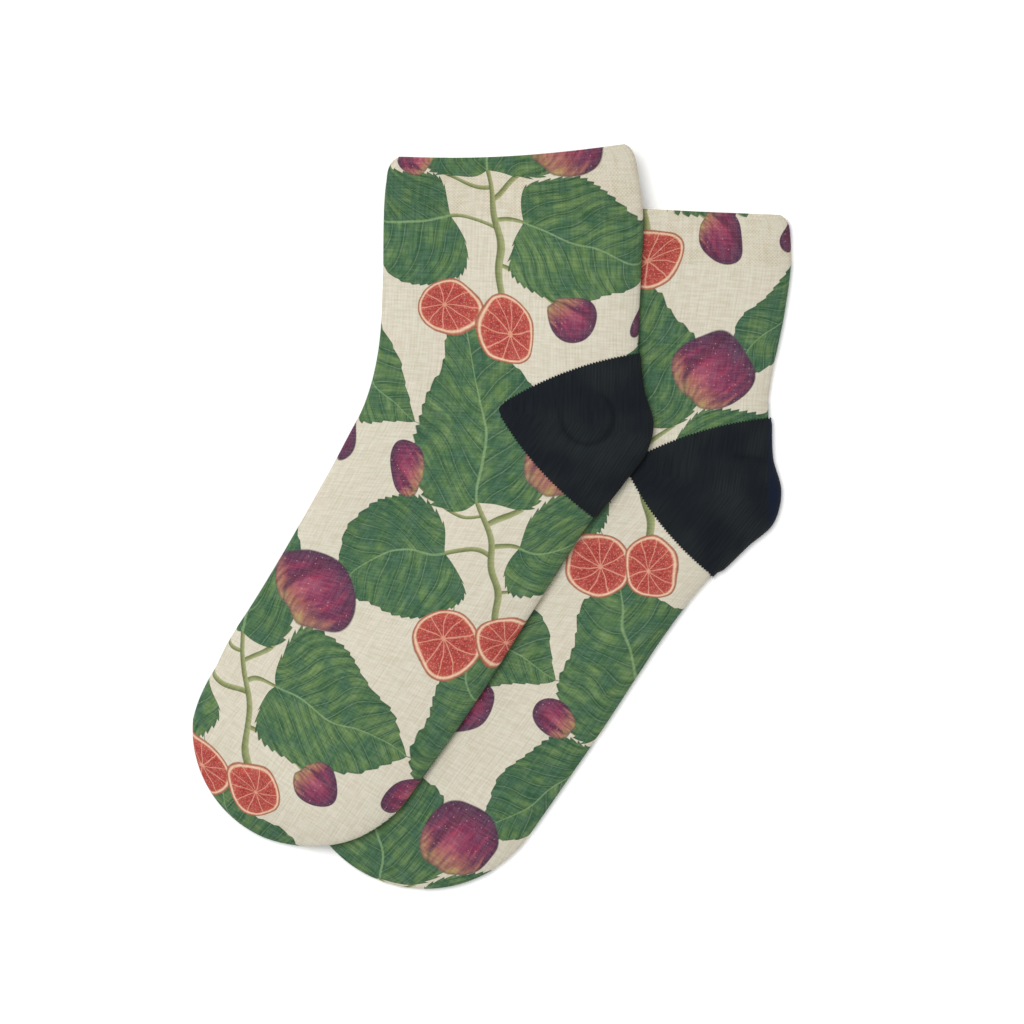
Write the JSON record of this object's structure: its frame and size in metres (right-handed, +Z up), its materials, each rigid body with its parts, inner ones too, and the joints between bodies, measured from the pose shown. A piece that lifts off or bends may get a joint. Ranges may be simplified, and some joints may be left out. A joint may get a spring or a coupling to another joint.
{
  "type": "pair of ankle socks",
  "caption": "Knitted ankle socks laid flat on their sides, one over the other: open welt cuffs, closed rounded toes and dark turned heel pockets in a light fruit-and-leaf print.",
  "frame": {"origin": "centre of the pair's plan bounding box, on the surface the socks lie on", "axes": "+Z up from that surface, +Y along the legs from toes towards cuffs, +X towards the heels"},
  "size_m": [0.218, 0.2706, 0.0176],
  "materials": {
    "printed_knit": "matte",
    "heel_knit": "matte"
  },
  "bodies": {
    "root": {"lower_sock_body": "printed_knit", "lower_sock_heel": "heel_knit", "lower_sock_cuff": "printed_knit", "upper_sock_body": "printed_knit", "upper_sock_heel": "heel_knit", "upper_sock_cuff": "printed_knit"}
  },
  "joints": []
}
